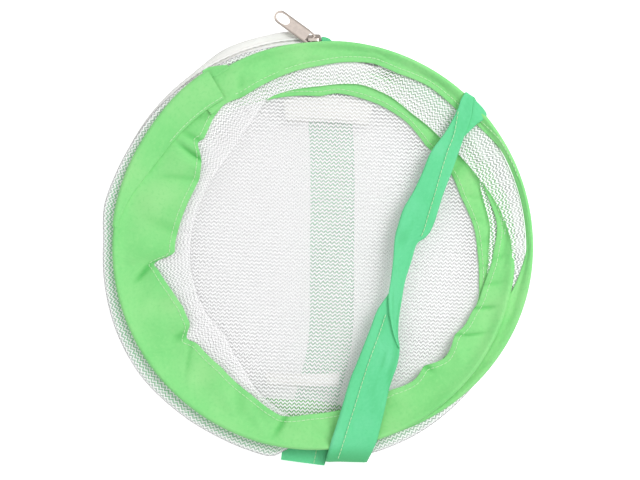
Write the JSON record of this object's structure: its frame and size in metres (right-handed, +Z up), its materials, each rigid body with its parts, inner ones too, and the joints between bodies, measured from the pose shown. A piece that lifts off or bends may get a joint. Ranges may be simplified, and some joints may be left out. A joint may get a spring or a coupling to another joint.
{
  "type": "collapsible insect cage",
  "caption": "Round pop-up mesh insect cage pushed flat: wire hoops and a coil spring in green fabric casings, white mesh end panels and wall, a rim zip and carrying straps.",
  "frame": {"origin": "on the table under the back strap, near the middle of the flattened cage", "axes": "+Z up from the table through the stacked hoops, the way the cage pops up; +Y away from the user, towards the zip pull; +X to the right"},
  "size_m": [0.2977, 0.3141, 0.0222],
  "materials": {
    "casing_fabric": "light green woven polyester, gathered and stitched",
    "strap_fabric": "bluish green woven polyester, folded double and stitched",
    "mesh_fabric": "white tricot mesh",
    "zip_tape": "off-white woven zip tape",
    "zip_nylon": "off-white nylon",
    "spring_steel": "drawn spring wire",
    "nickel": "nickel plate on a die casting"
  },
  "bodies": {
    "back_end": {"back_hoop_wire": "spring_steel", "back_hoop_ferrule": "spring_steel", "back_hoop_casing": "casing_fabric", "back_panel_net": "mesh_fabric", "back_strap": "strap_fabric", "zip_tape_wall": "zip_tape", "zip_tape_lid": "zip_tape", "zip_teeth_lid": "zip_nylon", "zip_teeth_wall": "zip_nylon", "zip_closed_stop": "nickel", "zip_open_stop": "nickel", "coil_spring": "spring_steel", "coil_spring_cap_front": "zip_nylon", "coil_spring_cap_rear": "zip_nylon", "coil_casing_front": "casing_fabric", "coil_casing_rear": "casing_fabric", "casing_joint_sleeve": "casing_fabric", "front_wall_mesh": "mesh_fabric", "rear_wall_mesh": "mesh_fabric"},
    "front_end": {"front_hoop_wire": "spring_steel", "front_hoop_ferrule": "spring_steel", "front_hoop_casing": "casing_fabric", "front_panel_net": "mesh_fabric", "front_strap": "strap_fabric"},
    "slider": {"zip_slider": "nickel"},
    "pull_tab": {"zip_pull": "nickel"}
  },
  "joints": [
    {"name": "pop_up", "type": "slide", "parent": "back_end", "child": "front_end", "axis": [0, 0, 1], "range_m": [0, 0.29], "deforming": ["coil_spring", "coil_spring_cap_front", "coil_spring_cap_rear", "coil_casing_front", "coil_casing_rear", "casing_joint_sleeve", "front_wall_mesh", "rear_wall_mesh"]},
    {"name": "zip_run", "type": "hinge", "parent": "back_end", "child": "slider", "pos_m": [-0.0055, 0.0075, 0.0071], "axis": [0, 0, 1], "range_deg": [0, 90]},
    {"name": "pull_flip", "type": "hinge", "parent": "slider", "child": "pull_tab", "pos_m": [-0.00403, 0.14478, 0.01011], "axis": [0.5878, 0.809, 0], "range_deg": [0, 60]}
  ]
}
